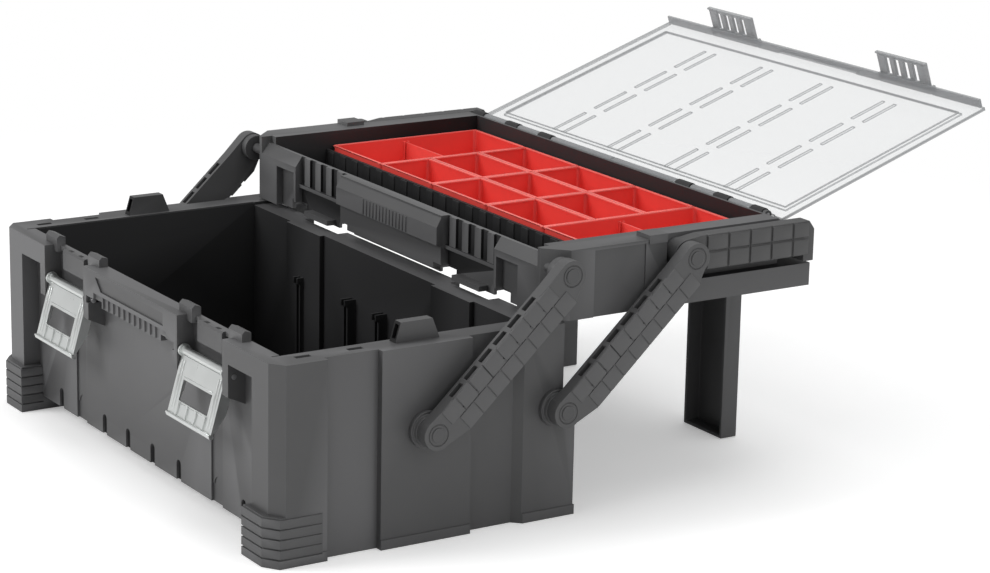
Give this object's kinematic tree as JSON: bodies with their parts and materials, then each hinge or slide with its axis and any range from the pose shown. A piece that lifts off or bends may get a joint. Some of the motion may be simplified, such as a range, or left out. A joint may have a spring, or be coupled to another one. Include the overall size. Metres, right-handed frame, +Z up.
{
  "type": "cantilever tool box",
  "caption": "Tool box with a deep tub, a tray of lift-out bins that swings back on side arms, a clear hinged lid, metal latches and a folding carry handle.",
  "frame": {"origin": "centre of the tub on the floor it stands on", "axes": "+X along the box to the right seen from the front, +Y from the latches to the back, +Z up"},
  "size_m": [0.6134, 0.8032, 0.3556],
  "materials": {
    "body_plastic": "fine moulded grain, dark grey",
    "arm_plastic": "fine moulded grain, dark grey",
    "handle_plastic": "fine moulded grain, near black",
    "bin_plastic": "satin red",
    "clear_plastic": "clear, glossy",
    "latch_steel": "bright zinc plate",
    "pin_steel": "plain"
  },
  "bodies": {
    "tub": {"base_tub": "body_plastic", "lower_spacers": "body_plastic", "lower_pivot_pins": "body_plastic", "latch_pins": "pin_steel"},
    "arm_front_right": {"arm_front_right": "arm_plastic"},
    "arm_front_left": {"arm_front_left": "arm_plastic"},
    "arm_rear_right": {"arm_rear_right": "arm_plastic"},
    "arm_rear_left": {"arm_rear_left": "arm_plastic"},
    "tray": {"tray_body": "body_plastic", "upper_pivot_pins": "body_plastic", "upper_spacers": "body_plastic", "support_leg_right": "body_plastic", "support_leg_left": "body_plastic", "lid_hinge_pin": "pin_steel"},
    "lid": {"lid": "clear_plastic", "lid_latch_pins": "pin_steel"},
    "lid_latch_right": {"lid_latch_right": "clear_plastic"},
    "lid_latch_left": {"lid_latch_left": "clear_plastic"},
    "carry_handle": {"carry_handle": "handle_plastic"},
    "latch_lever_right": {"latch_lever_right": "latch_steel"},
    "latch_lever_left": {"latch_lever_left": "latch_steel"},
    "bin_long_right": {"bin_long_right": "bin_plastic"},
    "bin_long_left": {"bin_long_left": "bin_plastic"},
    "bin_divider_right": {"bin_divider_right": "bin_plastic"},
    "bin_divider_left": {"bin_divider_left": "bin_plastic"},
    "bin_small_1": {"bin_small_1": "bin_plastic"},
    "bin_small_2": {"bin_small_2": "bin_plastic"},
    "bin_small_3": {"bin_small_3": "bin_plastic"},
    "bin_small_4": {"bin_small_4": "bin_plastic"},
    "bin_small_5": {"bin_small_5": "bin_plastic"},
    "bin_small_6": {"bin_small_6": "bin_plastic"},
    "bin_small_7": {"bin_small_7": "bin_plastic"},
    "bin_small_8": {"bin_small_8": "bin_plastic"},
    "bin_small_9": {"bin_small_9": "bin_plastic"}
  },
  "joints": [
    {"name": "arm_swing", "type": "hinge", "parent": "tub", "child": "arm_front_right", "pos_m": [0.299, -0.003, 0.104], "axis": [1, 0, 0], "range_deg": [0, 94.41]},
    {"name": "arm_swing_front_left", "type": "hinge", "parent": "tub", "child": "arm_front_left", "pos_m": [-0.299, -0.003, 0.104], "axis": [1, 0, 0], "range_deg": [0, 94.41]},
    {"name": "arm_swing_rear_right", "type": "hinge", "parent": "tub", "child": "arm_rear_right", "pos_m": [0.299, 0.131, 0.104], "axis": [1, 0, 0], "range_deg": [0, 94.41]},
    {"name": "arm_swing_rear_left", "type": "hinge", "parent": "tub", "child": "arm_rear_left", "pos_m": [-0.299, 0.131, 0.104], "axis": [1, 0, 0], "range_deg": [0, 94.41]},
    {"name": "tray_level", "type": "hinge", "parent": "arm_front_right", "child": "tray", "pos_m": [0.299, 0.132, 0.229], "axis": [1, 0, 0], "range_deg": [-94.41, 0]},
    {"name": "lid_hinge", "type": "hinge", "parent": "tray", "child": "lid", "pos_m": [0, 0.3876, 0.244], "axis": [1, 0, 0], "range_deg": [0, 161]},
    {"name": "lid_latch_turn_right", "type": "hinge", "parent": "lid", "child": "lid_latch_right", "pos_m": [0.142, 0.6366, 0.32868], "axis": [1, 0, 0], "range_deg": [-95, 0]},
    {"name": "lid_latch_turn_left", "type": "hinge", "parent": "lid", "child": "lid_latch_left", "pos_m": [-0.142, 0.6366, 0.32868], "axis": [1, 0, 0], "range_deg": [-95, 0]},
    {"name": "handle_swing", "type": "hinge", "parent": "tray", "child": "carry_handle", "pos_m": [0.283, 0.266, 0.229], "axis": [1, 0, 0], "range_deg": [0, 18]},
    {"name": "latch_swing_right", "type": "hinge", "parent": "tub", "child": "latch_lever_right", "pos_m": [0.142, -0.144, 0.148], "axis": [1, 0, 0], "range_deg": [-164, 0]},
    {"name": "latch_swing_left", "type": "hinge", "parent": "tub", "child": "latch_lever_left", "pos_m": [-0.142, -0.144, 0.148], "axis": [1, 0, 0], "range_deg": [-164, 0]},
    {"name": "bin_lift_long_right", "type": "slide", "parent": "tray", "child": "bin_long_right", "axis": [0, 0, 1], "range_m": [0, 0.009]},
    {"name": "divider_lift_right", "type": "slide", "parent": "bin_long_right", "child": "bin_divider_right", "axis": [0, 0, 1], "range_m": [0, 0.005]},
    {"name": "bin_lift_long_left", "type": "slide", "parent": "tray", "child": "bin_long_left", "axis": [0, 0, 1], "range_m": [0, 0.009]},
    {"name": "divider_lift_left", "type": "slide", "parent": "bin_long_left", "child": "bin_divider_left", "axis": [0, 0, 1], "range_m": [0, 0.005]},
    {"name": "bin_lift_small_1", "type": "slide", "parent": "tray", "child": "bin_small_1", "axis": [0, 0, 1], "range_m": [0, 0.009]},
    {"name": "bin_lift_small_2", "type": "slide", "parent": "tray", "child": "bin_small_2", "axis": [0, 0, 1], "range_m": [0, 0.009]},
    {"name": "bin_lift_small_3", "type": "slide", "parent": "tray", "child": "bin_small_3", "axis": [0, 0, 1], "range_m": [0, 0.009]},
    {"name": "bin_lift_small_4", "type": "slide", "parent": "tray", "child": "bin_small_4", "axis": [0, 0, 1], "range_m": [0, 0.009]},
    {"name": "bin_lift_small_5", "type": "slide", "parent": "tray", "child": "bin_small_5", "axis": [0, 0, 1], "range_m": [0, 0.009]},
    {"name": "bin_lift_small_6", "type": "slide", "parent": "tray", "child": "bin_small_6", "axis": [0, 0, 1], "range_m": [0, 0.009]},
    {"name": "bin_lift_small_7", "type": "slide", "parent": "tray", "child": "bin_small_7", "axis": [0, 0, 1], "range_m": [0, 0.009]},
    {"name": "bin_lift_small_8", "type": "slide", "parent": "tray", "child": "bin_small_8", "axis": [0, 0, 1], "range_m": [0, 0.009]},
    {"name": "bin_lift_small_9", "type": "slide", "parent": "tray", "child": "bin_small_9", "axis": [0, 0, 1], "range_m": [0, 0.009]}
  ],
  "couplings": [
    {"joint": "arm_swing_front_left", "follows": "arm_swing", "ratio": 1},
    {"joint": "arm_swing_rear_right", "follows": "arm_swing", "ratio": 1},
    {"joint": "arm_swing_rear_left", "follows": "arm_swing", "ratio": 1},
    {"joint": "tray_level", "follows": "arm_swing", "ratio": -1},
    {"joint": "handle_swing", "follows": "lid_hinge", "ratio": 0.1118}
  ]
}
